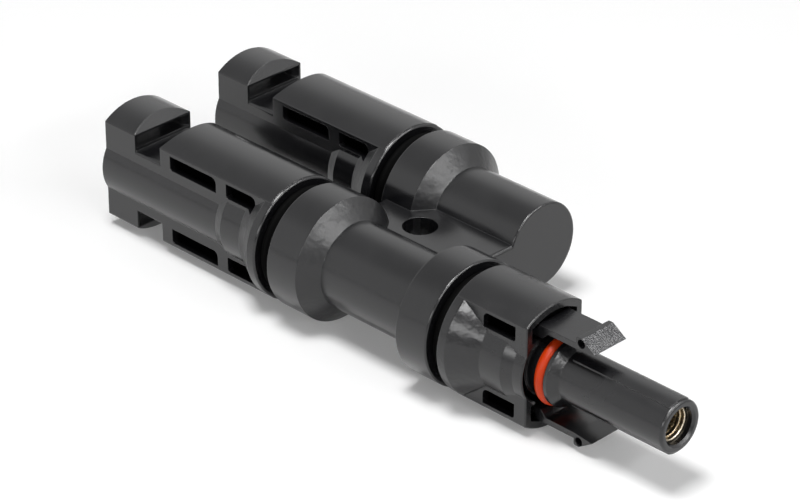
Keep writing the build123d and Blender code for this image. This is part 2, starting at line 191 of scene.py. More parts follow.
def noise(tree: Tree, size_mm: float, detail: float,
          stretch: tuple[float, float, float] = (1, 1, 1)) -> Socket:
    """Adds noise on Object coordinates with features about size_mm apart.

    Args:
        tree: the material's node tree.
        size_mm: distance between features.
        detail: how many finer layers lie on the first.
        stretch: scale of each axis before the noise, below 1 to draw it out.

    Returns:
        The socket that gives the noise from 0 to 1.
    """
    place = add_node(tree, "ShaderNodeTexCoord")
    mapping = add_node(tree, "ShaderNodeMapping", {"Vector": place.outputs["Object"], "Scale": stretch})
    made = add_node(tree, "ShaderNodeTexNoise", {
        "Vector": mapping, "Scale": 1 / (size_mm * MM), "Detail": detail})
    return made.outputs["Fac"]


def seen(tree: Tree) -> Node:
    """Adds the test of whether a ray comes from the camera, a mirror reflection or through glass.

    Args:
        tree: the node tree.

    Returns:
        The node that gives 1 for such a ray, and 0 for one that only brings light.
    """
    path = add_node(tree, "ShaderNodeLightPath").outputs
    shown = add_node(tree, "ShaderNodeMath", {
        0: path["Is Camera Ray"], 1: path["Is Glossy Ray"]}, operation="MAXIMUM")
    return add_node(tree, "ShaderNodeMath", {
        0: shown, 1: path["Is Transmission Ray"]}, operation="MAXIMUM")


@dataclass(frozen=True)
class Finish:
    """What every finish has: a name for its material and an sRGB colour."""

    name: str
    colour: str

    def material(self) -> bpy.types.Material:
        """Makes the material once and returns it each time it is asked for.

        Returns:
            The finished material.
        """
        known = bpy.data.materials.get(self.name)
        if known:
            return known
        made = bpy.data.materials.new(self.name)
        made.use_nodes = True
        made.node_tree.nodes.clear()
        add_node(made.node_tree, "ShaderNodeOutputMaterial", {"Surface": self.shade(made.node_tree)})
        return made

    def shade(self, tree: Tree) -> Node:
        """Adds the finish's nodes and returns its shader; each finish has its own."""
        raise NotImplementedError


@dataclass(frozen=True)
class MouldedPolymer(Finish):
    """Black polyphenylene ether, injection moulded in a polished tool with spark eroded zones.

    The polymer is almost black by itself. What the eye gets is its reflection of the pale room:
    soft on the polished zones, spread out on the satin ones, and broken up by a grain on the
    sandy ones. A zone is a span of X, and takes in the faces there that lean along X.
    """

    satin_mm: tuple[Span, ...] = ()
    sandy_mm: tuple[Span, ...] = ()
    lean: Span = (0.25, 0.93)
    worn_colour: str = "#161618"
    # The sand's pale peaks: partly the grain's own tone, partly painted sheen
    sand_sheen_colour: str = "#303033"
    ior: float = 1.57
    roughness: float = 0.2
    roughness_drift: Span = (-0.03, 0.04)
    satin_roughness: float = 0.32
    edge_mm: float = 0.12
    edge_samples: int = 6
    wave_mm: float = 6.0
    wave_depth_mm: float = 0.012
    ripple_mm: float = 1.9
    ripple_depth_mm: float = 0.13
    # The tool's grain and its spark eroded sand are really a few hundredths of a millimetre
    # apart. That is too fine to show, so both are drawn coarser here.
    grain_mm: float = 0.2
    grain_depth_mm: float = 0.0012
    sand_mm: float = 0.22
    sand_depth_mm: float = 0.07
    peak_heights: Span = (0.42, 0.66)
    peak_shares: Span = (0.4, 0.9)

    def zone(self, tree: Tree, spans_mm: tuple[Span, ...]) -> Node:
        """Adds the mask of some zones.

        A face leans along X where the size of its normal's X lies within lean. A Compare node
        gives 1 within half a span's width of the span's middle, and 0 elsewhere.

        Args:
            tree: the material's node tree.
            spans_mm: where each zone starts and ends along X.

        Returns:
            The node that gives 1 in a zone and 0 elsewhere.
        """
        place = add_node(tree, "ShaderNodeTexCoord")
        x = add_node(tree, "ShaderNodeSeparateXYZ", {0: place.outputs["Object"]})
        face = add_node(tree, "ShaderNodeNewGeometry")
        along = add_node(tree, "ShaderNodeSeparateXYZ", {0: face.outputs["Normal"]})
        steep = add_node(tree, "ShaderNodeMath", {0: along}, operation="ABSOLUTE")
        leans = add_node(tree, "ShaderNodeMath", {
            0: steep, 1: sum(self.lean) / 2, 2: (self.lean[1] - self.lean[0]) / 2}, operation="COMPARE")
        total = add_node(tree, "ShaderNodeValue")
        for start, end in spans_mm:
            inside = add_node(tree, "ShaderNodeMath", {
                0: x, 1: (start + end) / 2 * MM, 2: (end - start) / 2 * MM}, operation="COMPARE")
            total = add_node(tree, "ShaderNodeMath", {0: inside, 1: total}, operation="ADD")
        return add_node(tree, "ShaderNodeMath", {0: total, 1: leans}, operation="MULTIPLY")

    def shade(self, tree: Tree) -> Node:
        """Soft edges, flow waves, ripples, grain and sand lie on each other as bump.

        The ripples keep to the satin and sandy zones, and the sand to the sandy ones. The sand's
        peaks are paler too: partly the grain's own tone, partly a painted sheen of the light they scatter.

        Args:
            tree: the material's node tree.

        Returns:
            The shader.
        """
        satin = self.zone(tree, self.satin_mm + self.sandy_mm)
        sandy = self.zone(tree, self.sandy_mm)
        drift = noise(tree, self.wave_mm, detail=3.0)
        ripple = noise(tree, self.ripple_mm, detail=2.0)
        grain = noise(tree, self.grain_mm, detail=1.5)
        sand = noise(tree, self.sand_mm, detail=1.0)
        zone_ripple = add_node(tree, "ShaderNodeMath", {0: ripple, 1: satin}, operation="MULTIPLY")
        zone_sand = add_node(tree, "ShaderNodeMath", {0: sand, 1: sandy}, operation="MULTIPLY")
        normal = add_node(tree, "ShaderNodeBevel", {"Radius": self.edge_mm * MM}, samples=self.edge_samples)
        for height, depth_mm in ((drift, self.wave_depth_mm), (zone_ripple, self.ripple_depth_mm),
                                 (grain, self.grain_depth_mm), (zone_sand, self.sand_depth_mm)):
            normal = add_node(tree, "ShaderNodeBump", {
                "Height": height, "Strength": 1.0, "Distance": depth_mm * MM, "Normal": normal})
        plain = add_node(tree, "ShaderNodeMix", two_colours(drift, self.colour, self.worn_colour),
                         data_type="RGBA")
        # Painted sheen, with the grain's own tone: the sand's peaks take the pale colour
        sheen_peaks = add_node(tree, "ShaderNodeMapRange", ranged(sand, self.peak_shares, self.peak_heights))
        zone_sheen_peaks = add_node(tree, "ShaderNodeMath", {0: sheen_peaks, 1: sandy}, operation="MULTIPLY")
        colour = add_node(tree, "ShaderNodeMix", {
            MIX_FACTOR: zone_sheen_peaks, MIX_FIRST_COLOUR: plain.outputs[MIX_COLOUR_RESULT],
            MIX_SECOND_COLOUR: to_linear(self.sand_sheen_colour)}, data_type="RGBA")
        polished = add_node(tree, "ShaderNodeMapRange",
                            ranged(drift, around(self.roughness, self.roughness_drift)))
        return add_node(tree, "ShaderNodeBsdfPrincipled", {
            "Base Color": colour.outputs[MIX_COLOUR_RESULT],
            "Roughness": add_node(tree, "ShaderNodeMix", {
                MIX_FACTOR: satin, MIX_FIRST_VALUE: polished, MIX_SECOND_VALUE: self.satin_roughness}),
            "IOR": self.ior,
            "Normal": normal})


@dataclass(frozen=True)
class Elastomer(Finish):
    """Moulded rubber or silicone: a soft skin with a faint bloom and no sharp reflection."""

    worn_colour: str
    roughness: float
    specular: float
    glow: float = 0.0
    glow_reach_mm: float = 0.3
    ior: float = 1.43
    roughness_drift: Span = (-0.05, 0.06)
    bloom_mm: float = 0.8
    # The skin's real texture is a few hundredths of a millimetre, so it is drawn coarser to show
    skin_mm: float = 0.1
    skin_depth_mm: float = 0.002

    def shade(self, tree: Tree) -> Node:
        """Bloom is a drift of colour and roughness, and the skin is a fine bump.

        Args:
            tree: the material's node tree.

        Returns:
            The shader.
        """
        bloom = noise(tree, self.bloom_mm, detail=3.0)
        skin = noise(tree, self.skin_mm, detail=2.0)
        colour = add_node(tree, "ShaderNodeMix", two_colours(bloom, self.colour, self.worn_colour),
                          data_type="RGBA")
        return add_node(tree, "ShaderNodeBsdfPrincipled", {
            "Base Color": colour.outputs[MIX_COLOUR_RESULT],
            "Roughness": add_node(tree, "ShaderNodeMapRange",
                                  ranged(bloom, around(self.roughness, self.roughness_drift))),
            "IOR": self.ior,
            "Specular IOR Level": self.specular,
            "Subsurface Weight": self.glow,
            "Subsurface Scale": self.glow_reach_mm * MM,
            "Normal": add_node(tree, "ShaderNodeBump", {
                "Height": skin, "Strength": 1.0, "Distance": self.skin_depth_mm * MM})})


@dataclass(frozen=True)
class TurnedMetal(Finish):
    """Turned and plated copper alloy: a bright metal with fine tool rings across its axis."""

    dull_colour: str
    roughness: float
    roughness_drift: Span = (-0.05, 0.08)
    cloud_mm: float = 0.9
    # Tool rings usually lie closer together than this, so they are drawn coarser to show
    ring_mm: float = 0.09
    ring_depth_mm: float = 0.0012
    ring_stretch: float = 0.04

    def shade(self, tree: Tree) -> Node:
        """Tool rings are noise drawn out across the turning axis, which is X.

        Args:
            tree: the material's node tree.

        Returns:
            The shader.
        """
        rings = noise(tree, self.ring_mm, detail=2.0, stretch=(1, self.ring_stretch, self.ring_stretch))
        cloud = noise(tree, self.cloud_mm, detail=3.0)
        colour = add_node(tree, "ShaderNodeMix", two_colours(cloud, self.colour, self.dull_colour),
                          data_type="RGBA")
        return add_node(tree, "ShaderNodeBsdfPrincipled", {
            "Base Color": colour.outputs[MIX_COLOUR_RESULT],
            "Metallic": 1.0,
            "Roughness": add_node(tree, "ShaderNodeMapRange",
                                  ranged(cloud, around(self.roughness, self.roughness_drift))),
            "Normal": add_node(tree, "ShaderNodeBump", {
                "Height": rings, "Strength": 1.0, "Distance": self.ring_depth_mm * MM})})


@dataclass(frozen=True)
class RolledMetal(Finish):
    """Strip metal as rolled and stamped: long faint scratches in one direction."""

    dull_colour: str
    roughness: float
    roughness_drift: Span = (-0.05, 0.08)
    cloud_mm: float = 2.5
    # Rolling marks are usually finer than this, so they are drawn coarser to show
    scratch_mm: float = 0.06
    scratch_depth_mm: float = 0.001
    scratch_stretch: float = 0.03

    def shade(self, tree: Tree) -> Node:
        """Scratches are noise drawn out along X.

        Args:
            tree: the material's node tree.

        Returns:
            The shader.
        """
        scratches = noise(tree, self.scratch_mm, detail=2.0, stretch=(self.scratch_stretch, 1, 1))
        cloud = noise(tree, self.cloud_mm, detail=3.0)
        colour = add_node(tree, "ShaderNodeMix", two_colours(cloud, self.colour, self.dull_colour),
                          data_type="RGBA")
        return add_node(tree, "ShaderNodeBsdfPrincipled", {
            "Base Color": colour.outputs[MIX_COLOUR_RESULT],
            "Metallic": 1.0,
            "Roughness": add_node(tree, "ShaderNodeMapRange",
                                  ranged(scratches, around(self.roughness, self.roughness_drift))),
            "Normal": add_node(tree, "ShaderNodeBump", {
                "Height": scratches, "Strength": 1.0, "Distance": self.scratch_depth_mm * MM})})


POLYMER_BLACK = "#0F0F11"
# The branch body mirrors the room softly, and its satin cones spread that light out
BODY_POLYMER = MouldedPolymer("moulded_polymer_body", POLYMER_BLACK, satin_mm=((-4.2, -1.8),))
# The sockets look the same, with satin flares beside the rim and the band
SOCKET_POLYMER = MouldedPolymer(
    "moulded_polymer_socket", POLYMER_BLACK, satin_mm=((-24.3, -22.3), (-18.6, -14.2)))
# The plug mirrors less sharply, with a satin flare and cone, and a grain on its lips that glitters, partly
# by painted sheen
PLUG_POLYMER = MouldedPolymer(
    "moulded_polymer_plug", POLYMER_BLACK, satin_mm=((24.85, 29.25), (39.6, 41.2)),
    sandy_mm=((43.9, 46.8),), roughness=0.25, satin_roughness=0.24)
# Seals are carbon filled black rubber, painted darker still as the shade deep in the neck gap: nearly no
# light comes back from them
SEAL_RUBBER_AND_SHADE = Elastomer("black_rubber_and_painted_shade", "#040404", "#070707", roughness=0.7, specular=0.05)
# Painted shade: behind the windows the same polymer, rough and deep in shade, is painted plain black
PAINTED_SHADE_BLACK = Elastomer("painted_shade_window_hollow", "#010101", "#020202", roughness=0.8, specular=0.0)
# The ring is lubricated silicone: strong orange with a soft wet highlight
RING_SILICONE = Elastomer(
    "moulded_orange_silicone", "#C63A08", "#B63004", roughness=0.33, specular=0.3, glow=0.08)
# Mated contact faces are flashed with gold over nickel, which reads as pale warm brass
GILT = TurnedMetal("flashed_gold_plate", "#EBE1CE", "#C6B79C", roughness=0.24)
# The pins carry matt tin: pale and a little grey
TIN = TurnedMetal("matt_tin_plate", "#D2D3D4", "#B9BABC", roughness=0.31)
# The bar is bare electrolytic copper: warm, with a broad soft sheen
COPPER = RolledMetal("rolled_copper", "#D9906A", "#B8704D", roughness=0.34)
# The clips are stamped from stainless strip: a grey metal with a soft streaked shine
STAINLESS = RolledMetal("stamped_stainless_strip", "#C4C5C7", "#A9AAAD", roughness=0.3)


def rounded(corners: Sequence[tuple[float, float, float]], closed: bool = True,
            arc_steps: int = 6) -> np.ndarray:
    """Rounds the corners of a profile.

    An arc of radius r leaves the sides at r / tan(half the corner's angle) from the corner. Its
    points turn evenly from the first radius to the last: the weights of the two are
    sin((1 - s) t) / sin t and sin(s t) / sin t, for a turn t and s from 0 to 1.

    Args:
        corners: (x, radius from the axis, rounding) of each corner.
        closed: whether the last corner joins the first.
        arc_steps: spans in each arc.

    Returns:
        The profile's points as an array of (x, radius).
    """
    points = np.array([corner[:2] for corner in corners], float)
    parts = []
    for i, (_, _, rounding) in enumerate(corners):
        here = points[i]
        at_end = not closed and i in (0, len(corners) - 1)
        if rounding <= 0 or at_end:
            parts.append(here[None])
            continue
        before = points[i - 1] - here
        after = points[(i + 1) % len(points)] - here
        before, after = before / np.linalg.norm(before), after / np.linalg.norm(after)
        angle = math.acos(float(np.clip(before @ after, -1, 1)))
        reach = rounding / math.tan(angle / 2)
        middle = before + after
        centre = here + middle / np.linalg.norm(middle) * rounding / math.sin(angle / 2)
        turn = math.pi - angle
        s = np.linspace(0, 1, arc_steps + 1)[:, None]
        first, last = here + before * reach - centre, here + after * reach - centre
        arc = np.sin((1 - s) * turn) * first + np.sin(s * turn) * last
        parts.append(centre + arc / math.sin(turn))
    return np.concatenate(parts)


def grid_faces(rows: int, columns: int, close_rows: bool, close_columns: bool) -> np.ndarray:
    """Quads of a grid of points numbered row by row.

    Args:
        rows: number of rows.
        columns: points in a row.
        close_rows: whether the last row joins the first.
        close_columns: whether the last column joins the first.

    Returns:
        Four point numbers for each face.
    """
    i = np.arange(rows if close_rows else rows - 1)[:, None]
    j = np.arange(columns if close_columns else columns - 1)[None]
    i2, j2 = (i + 1) % rows, (j + 1) % columns
    quads = np.stack([i * columns + j, i * columns + j2, i2 * columns + j2, i2 * columns + j], axis=-1)
    return quads.reshape(-1, 4)


def lathe(profile: np.ndarray, axis_y: float, closed: bool = True, steps: int = 160) -> Shell:
    """Turns a profile about a line along X.

    The point for profile point (x, r) and angle a is (x, axis_y + r cos a, r sin a).

    Args:
        profile: (x, radius) of each point; an open one starts and ends on the axis.
        axis_y: where the line lies.
        closed: whether the profile is a loop that stays off the axis.
        steps: points in each ring.

    Returns:
        Points and faces of the surface.
    """
    angle = np.linspace(0, 2 * np.pi, steps, endpoint=False)[None]
    x, radius = profile[:, 0][:, None], profile[:, 1][:, None]
    y, z = axis_y + radius * np.cos(angle), radius * np.sin(angle)
    points = np.stack(np.broadcast_arrays(x, y, z), axis=-1)
    return points.reshape(-1, 3), grid_faces(len(profile), steps, closed, True)


def joined(shells: Sequence[Shell]) -> Shell:
    """Puts several shells into one array of points and one of faces.

    Args:
        shells: points and faces of each shell.

    Returns:
        Points and faces of them all.
    """
    starts = np.cumsum([0] + [len(points) for points, _ in shells[:-1]])
    faces = np.concatenate([faces + start for start, (_, faces) in zip(starts, shells)])
    return np.concatenate([points for points, _ in shells]), faces


def close_and_face_out(mesh: bpy.types.Mesh, reach: float = 1e-7) -> None:
    """Closes poles and seams by merging doubles, and turns all faces outwards.

    Args:
        mesh: the mesh, in metres.
        reach: how close two points are to be one.
    """
    work = bmesh.new()
    work.from_mesh(mesh)
    bmesh.ops.remove_doubles(work, verts=work.verts, dist=reach)
    bmesh.ops.recalc_face_normals(work, faces=work.faces)
    work.to_mesh(mesh)
    work.free()


def smooth_shade(mesh: bpy.types.Mesh, sharp_degrees: float = 40.0) -> None:
    """Shades a mesh smooth, apart from edges that turn by more than sharp_degrees."""
    mesh.polygons.foreach_set("use_smooth", np.ones(len(mesh.polygons), bool))
    mesh.set_sharp_from_angle(angle=math.radians(sharp_degrees))


def new_piece(name: str, finish: Finish, shell: Shell) -> bpy.types.Object:
    """Makes an object at the origin from millimetre points.

    Args:
        name: the piece's name.
        finish: what it is made of.
        shell: its points in the connector's frame, and four point numbers for each face.

    Returns:
        The object, closed, facing outwards, smooth and dressed.
    """
    points, faces = shell
    mesh = bpy.data.meshes.new(name)
    mesh.from_pydata((points * MM).tolist(), [], faces.tolist())
    close_and_face_out(mesh)
    smooth_shade(mesh)
    mesh.materials.append(finish.material())
    piece = bpy.data.objects.new(name, mesh)
    bpy.context.scene.collection.objects.link(piece)
    return piece


def stand_for(piece: bpy.types.Object, node: str) -> None:
    """Lets a piece ride on the connector's one body and stand for a node.

    Args:
        piece: the finished piece.
        node: the node that it replaces.
    """
    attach(piece, "root")
    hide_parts(node)


def box_mm(node: str) -> tuple[Vector, Vector]:
    """Gives the lowest and highest corner of a node in millimetres."""
    low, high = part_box(node)
    return low / MM, high / MM


def axis_of(node: str) -> float:
    """Gives the Y of a round node's axis, which is the middle of its box."""
    low, high = box_mm(node)
    return (low.y + high.y) / 2


class SubAssembly(Protocol):
    """What every sub-assembly has: its sizes, and a method that builds it."""

    def build(self) -> bpy.types.Object:
        """Builds and dresses the piece and returns it."""


@dataclass
class DressedSolid:
    """A moulding, a clip or the bus bar, which keeps its node's own form and gets a finish."""

    node: str
    finish: Finish

    def build(self) -> bpy.types.Object:
        """Dresses the node's mesh.

        Returns:
            The node's object.
        """
        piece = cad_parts[self.node]
        piece.data.materials.clear()
        piece.data.materials.append(self.finish.material())
        return piece


@dataclass
class WindowShadePlates:
    """Painted shade: a rough black plate in each of a housing's side windows, for the dark hollow behind
    it.

    Lengths run from the rim towards the mouth, as heading turns them.
    """

    housing: str
    rim_x: float
    heading: int
    spans: tuple[Span, ...]
    flat_y: float = 5.5
    depth: float = 1.0
    thickness: float = 0.3
    low_z: float = 4.9
    high_z: float = 7.2
    lap: float = 0.15

    def plate(self, span: Span, side: int, level: int) -> Shell:
        """Makes one shade plate, a box whose corners are every mix of its lowest and highest x, y and z.

        Args:
            span: where the window starts and ends.
            side: +1 for the side towards +Y, else -1.
            level: +1 above the axis, else -1.

        Returns:
            Points and faces of the box.
        """
        x = self.rim_x + self.heading * np.array([span[0] - self.lap, span[1] + self.lap])
        y = axis_of(self.housing) + side * (self.flat_y - self.depth - np.array([0.0, self.thickness]))
        z = level * np.array([self.low_z - self.lap, self.high_z + self.lap])
        corners = np.stack(np.meshgrid(np.sort(x), np.sort(y), np.sort(z), indexing="ij"), axis=-1)
        return corners.reshape(-1, 3), BOX_FACES

    def build(self) -> bpy.types.Object:
        """Joins the painted shade plates of all the windows, above and below, on both sides.

        Returns:
            The finished piece.
        """
        plates = [self.plate(span, side, level)
                  for span in self.spans for side in (-1, 1) for level in (-1, 1)]
        piece = new_piece(f"{self.housing}_window_shade_plates", PAINTED_SHADE_BLACK, joined(plates))
        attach(piece, "root")
        return piece


@dataclass
class ORing:
    """The orange ring on the plug."""

    node: str = "plug_o_ring"
    flash_mm: float = 0.03
    flash_radians: float = 0.16
    section_steps: int = 40
    turned_steps: int = 240

    def build(self) -> bpy.types.Object:
        """Turns a round section with a faint mould line on its outside.

        For section angle a, the section radius is s + f exp(-(a / w)^2), where s is the plain
        radius, f the height of the mould line and w its width in radians.

        Returns:
            The finished piece.
        """
        low, high = box_mm(self.node)
        section = (high.x - low.x) / 2
        middle_r = (high.z - low.z) / 2 - section
        angle = np.linspace(-np.pi, np.pi, self.section_steps, endpoint=False)
        radius = section - self.flash_mm * (1 - np.exp(-(angle / self.flash_radians) ** 2))
        profile = np.stack([(low.x + high.x) / 2 + radius * np.sin(angle),
                            middle_r + radius * np.cos(angle)], axis=-1)
        piece = new_piece(f"{self.node}_silicone", RING_SILICONE,
                          lathe(profile, axis_of(self.node), steps=self.turned_steps))
        stand_for(piece, self.node)
        return piece


@dataclass
class NeckSeal:
    """A rubber ring in the gap between a housing and its collar."""

    node: str
    bore_r: float = 7.4
    beads: int = 2
    bead_mm: float = 0.45
    points: int = 48

    def build(self) -> bpy.types.Object:
        """Turns a section whose outside has round beads.

        At a share s of the width, the outer radius is R - h (1 - |sin(beads pi s)|), where R is
        the outer radius of the beads and h their height.

        Returns:
            The finished piece.
        """
        low, high = box_mm(self.node)
        outer_r = (high.z - low.z) / 2
        share = np.linspace(0, 1, self.points)
        outside = outer_r - self.bead_mm * (1 - np.abs(np.sin(self.beads * np.pi * share)))
        top = np.stack([low.x + share * (high.x - low.x), outside], axis=-1)
        bore = np.array([[high.x, self.bore_r], [low.x, self.bore_r]])
        profile = np.concatenate([top, bore])
        # The seal's near-black colour is black rubber and painted shade of the gap
        piece = new_piece(f"{self.node}_rubber", SEAL_RUBBER_AND_SHADE, lathe(profile, axis_of(self.node)))
        stand_for(piece, self.node)
        return piece


@dataclass
class PinContact:
    """A 4 mm pin in a rear socket."""

    node: str
    pin_r: float = 2.0
    body_r: float = 2.6
    pin_len: float = 12.5
    seat_r: float = 2.1
    seat_start: float = 16.0
    seat_len: float = 1.3
    body_end: float = 23.0
    tail_r: float = 1.7
    tip_round: float = 1.5
    edge: float = 0.1
    shoulder: float = 0.15

    def build(self) -> bpy.types.Object:
        """Turns the pin from its tip back to its tail, with a round nose.

        Returns:
            The finished piece.
        """
        low, high = box_mm(self.node)
        tip, edge = low.x, self.edge
        seat_end = self.seat_start + self.seat_len
        corners = [
            (tip, 0, 0), (tip, self.pin_r, self.tip_round), (tip + self.pin_len, self.pin_r, edge),
            (tip + self.pin_len, self.body_r, self.shoulder), (tip + self.seat_start, self.body_r, edge),
            (tip + self.seat_start, self.seat_r, edge), (tip + seat_end, self.seat_r, edge),
            (tip + seat_end, self.body_r, edge), (tip + self.body_end, self.body_r, self.shoulder),
            (tip + self.body_end, self.tail_r, edge), (high.x, self.tail_r, edge), (high.x, 0, 0)]
        profile = rounded(corners, closed=False)
        piece = new_piece(f"{self.node}_tinned", TIN, lathe(profile, axis_of(self.node), closed=False))
        stand_for(piece, self.node)
        return piece


@dataclass
class SocketContact:
    """The contact seen in the plug's tip."""

    node: str = "plug_socket_contact"
    bore_r: float = 2.25
    bore_len: float = 14.0
    lead_in: float = 0.18
    seat_r: float = 2.1
    seat_len: float = 1.3
    shoulder_x: float = 32.75
    body_start_x: float = 25.75
    tail_r: float = 1.7
    edge: float = 0.1
    shoulder: float = 0.15

    def build(self) -> bpy.types.Object:
        """Turns the contact from its tail to its mouth and back down the bore.

        Returns:
            The finished piece.
        """
        low, high = box_mm(self.node)
        body_r, edge = (high.z - low.z) / 2, self.edge
        seat_x, bore_end_x = self.shoulder_x - self.seat_len, high.x - self.bore_len
        corners = [
            (low.x, 0, 0), (low.x, self.tail_r, edge), (self.body_start_x, self.tail_r, edge),
            (self.body_start_x, body_r, self.shoulder), (seat_x, body_r, edge), (seat_x, self.seat_r, edge),
            (self.shoulder_x, self.seat_r, edge), (self.shoulder_x, body_r, edge),
            (high.x, body_r, edge), (high.x, self.bore_r, self.lead_in),
            (bore_end_x, self.bore_r, edge), (bore_end_x, 0, 0)]
        profile = rounded(corners, closed=False)
        piece = new_piece(f"{self.node}_gilt", GILT, lathe(profile, axis_of(self.node), closed=False))
        stand_for(piece, self.node)
        return piece


@dataclass
class LouvreBand:
    """The springy slotted sleeve in the socket contact."""

    node: str = "louvre_band"
    count: int = 16
    rim_mm: float = 0.8
    rim_round: float = 0.04
    rim_overlap: float = 0.2
    sheet_mm: float = 0.16
    inset_mm: float = 0.02
    bow_mm: float = 0.22
    bow_power: float = 0.7
    gap_share: float = 0.3
    gap_rise: float = 3.0
    twist_degrees: float = 14.0
    rows: int = 24
    columns: int = 7

    def louvres(self, start: float, end: float, outer_r: float) -> Shell:
        """Makes all the louvres, each a thin closed strip from rim to rim.

        At a share s of the length, a strip's outside lies at R - i - b sin(pi s)^p, where i is
        the inset, b the bow and p its power. Its edges are raised and lowered by t c sin(pi s),
        where c runs from -1 to 1 across the strip, so that it stands like the slat of a blind.
        A strip is narrower than its pitch by the gap's share, times g sin(pi s)^p up to 1, where
        g says how fast the gap opens.

        Args:
            start: x of the rear end.
            end: x of the front end.
            outer_r: radius of the sleeve's outside.

        Returns:
            Points and faces of the strips.
        """
        pitch = 2 * np.pi / self.count
        share = np.linspace(0, 1, self.rows)[:, None]
        across = np.linspace(-1, 1, self.columns)[None]
        bulge = np.sin(np.pi * share) ** self.bow_power
        half = pitch / 2 * (1 - self.gap_share * np.clip(bulge * self.gap_rise, 0, 1))
        tilt = math.tan(math.radians(self.twist_degrees)) * outer_r * pitch / 2
        outside = outer_r - self.bow_mm * bulge + tilt * across * np.sin(np.pi * share) - self.inset_mm
        inside = outside - self.sheet_mm
        radius = np.concatenate([outside, inside[:, ::-1]], axis=1)
        angle = np.concatenate([half * across, (half * across)[:, ::-1]], axis=1)
        x = np.broadcast_to(start + share * (end - start), radius.shape)
        ring = 2 * self.columns
        rung = np.arange(self.columns - 1)
        cap = np.stack([rung, rung + 1, ring - 2 - rung, ring - 1 - rung], axis=-1)
        walls = grid_faces(self.rows, ring, False, True)
        faces = np.concatenate([walls, cap, cap[:, ::-1] + (self.rows - 1) * ring])
        strips = []
        for k in range(self.count):
            turn = angle + k * pitch
            points = np.stack([x, radius * np.cos(turn), radius * np.sin(turn)], axis=-1)
            strips.append((points.reshape(-1, 3), faces))
        return joined(strips)

    def build(self) -> bpy.types.Object:
        """Joins two rims and the louvres between them.

        Returns:
            The finished piece.
        """
        low, high = box_mm(self.node)
        outer_r = (high.z - low.z) / 2
        inner_r = outer_r - self.sheet_mm
        rims = []
        for x0, x1 in ((low.x, low.x + self.rim_mm), (high.x - self.rim_mm, high.x)):
            corners = [(x, r, self.rim_round)
                       for x, r in ((x0, inner_r), (x0, outer_r), (x1, outer_r), (x1, inner_r))]
            rims.append(lathe(rounded(corners), axis_of(self.node)))
        inner_ends = self.rim_mm - self.rim_overlap
        points, faces = self.louvres(low.x + inner_ends, high.x - inner_ends, outer_r)
        strips = points + [0, axis_of(self.node), 0], faces
        piece = new_piece(f"{self.node}_gilt", GILT, joined([*rims, strips]))
        stand_for(piece, self.node)
        return piece


@dataclass(frozen=True)
class Softbox:
    """A rectangular lamp that faces the connector from a direction, as a studio's softbox does."""

    name: str
    azimuth: float
    elevation: float
    width_degrees: float
    height_degrees: float
    level: float
    mirrored_only: bool = False
    distance_mm: float = 700.0

    def place(self) -> None:
        """Puts the lamp at its direction, with the power that gives its brightness level.

        A lamp of area A whose face has brightness L needs a power of pi A L. One that is mirrored
        only is seen in gloss but lights no matt surface, as a thin bright edge of a lamp would.
        """
        azimuth, elevation = math.radians(self.azimuth), math.radians(self.elevation)
        away = Vector((math.cos(azimuth) * math.cos(elevation), math.sin(azimuth) * math.cos(elevation),
                       math.sin(elevation)))
        distance = self.distance_mm * MM
        lamp = bpy.data.lights.new(self.name, "AREA")
        lamp.shape = "RECTANGLE"
        lamp.size = 2 * distance * math.tan(math.radians(self.width_degrees / 2))
        lamp.size_y = 2 * distance * math.tan(math.radians(self.height_degrees / 2))
        lamp.energy = math.pi * lamp.size * lamp.size_y * self.level
        shown = bpy.data.objects.new(self.name, lamp)
        shown.location = away * distance
        shown.rotation_euler = away.to_track_quat("Z", "Y").to_euler()
        shown.visible_diffuse = not self.mirrored_only
        bpy.context.scene.collection.objects.link(shown)


